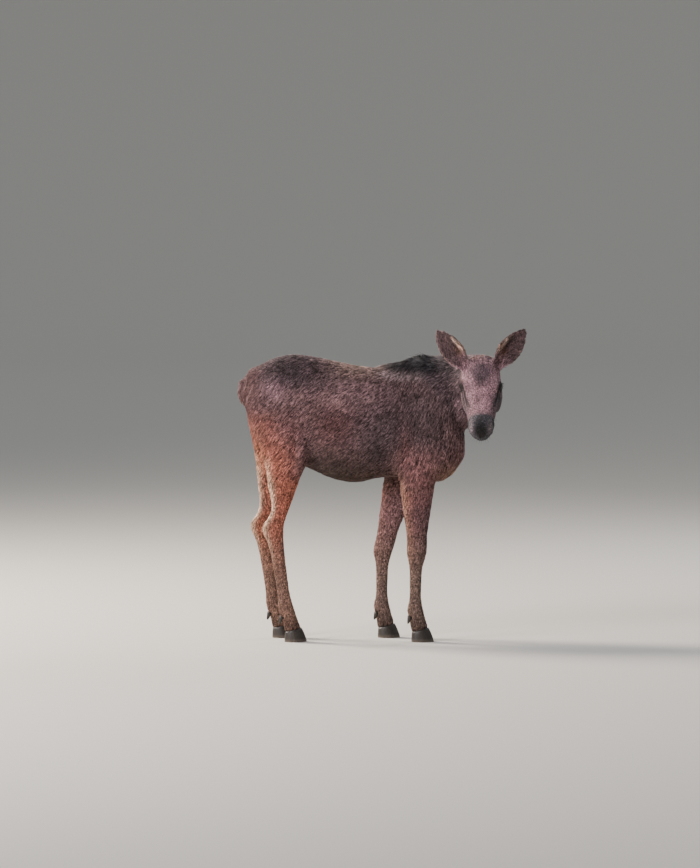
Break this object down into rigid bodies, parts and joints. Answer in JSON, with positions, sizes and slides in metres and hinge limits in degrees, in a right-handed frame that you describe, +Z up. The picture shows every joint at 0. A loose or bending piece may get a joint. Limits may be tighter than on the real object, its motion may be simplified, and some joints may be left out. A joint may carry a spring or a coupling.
{
  "type": "moose calf",
  "caption": "Life-size standing moose calf with its head turned to its right; a still animal model with no moving pieces.",
  "frame": {"origin": "on the floor under the middle of the animal's box", "axes": "+X the way the body faces, +Y the animal's left, +Z up"},
  "size_m": [1.2922, 0.7206, 1.4151],
  "materials": {
    "coat": "short dense grizzled brown hair over skin, matt",
    "horn": "black-brown hoof horn, satin",
    "eye": "wet dark brown, glossy"
  },
  "bodies": {
    "root": {"trunk": "coat", "neck": "coat", "head": "coat", "tail": "coat", "ear_left": "coat", "ear_right": "coat", "forearm_left": "coat", "forearm_right": "coat", "fore_cannon_left": "coat", "fore_cannon_right": "coat", "gaskin_left": "coat", "gaskin_right": "coat", "hind_cannon_left": "coat", "hind_cannon_right": "coat", "eye_left": "eye", "eye_right": "eye", "toe_fore_left_outer": "horn", "dewclaw_fore_left_outer": "horn", "toe_fore_left_inner": "horn", "dewclaw_fore_left_inner": "horn", "toe_fore_right_outer": "horn", "dewclaw_fore_right_outer": "horn", "toe_fore_right_inner": "horn", "dewclaw_fore_right_inner": "horn", "toe_hind_left_outer": "horn", "dewclaw_hind_left_outer": "horn", "toe_hind_left_inner": "horn", "dewclaw_hind_left_inner": "horn", "toe_hind_right_outer": "horn", "dewclaw_hind_right_outer": "horn", "toe_hind_right_inner": "horn", "dewclaw_hind_right_inner": "horn"}
  },
  "joints": []
}
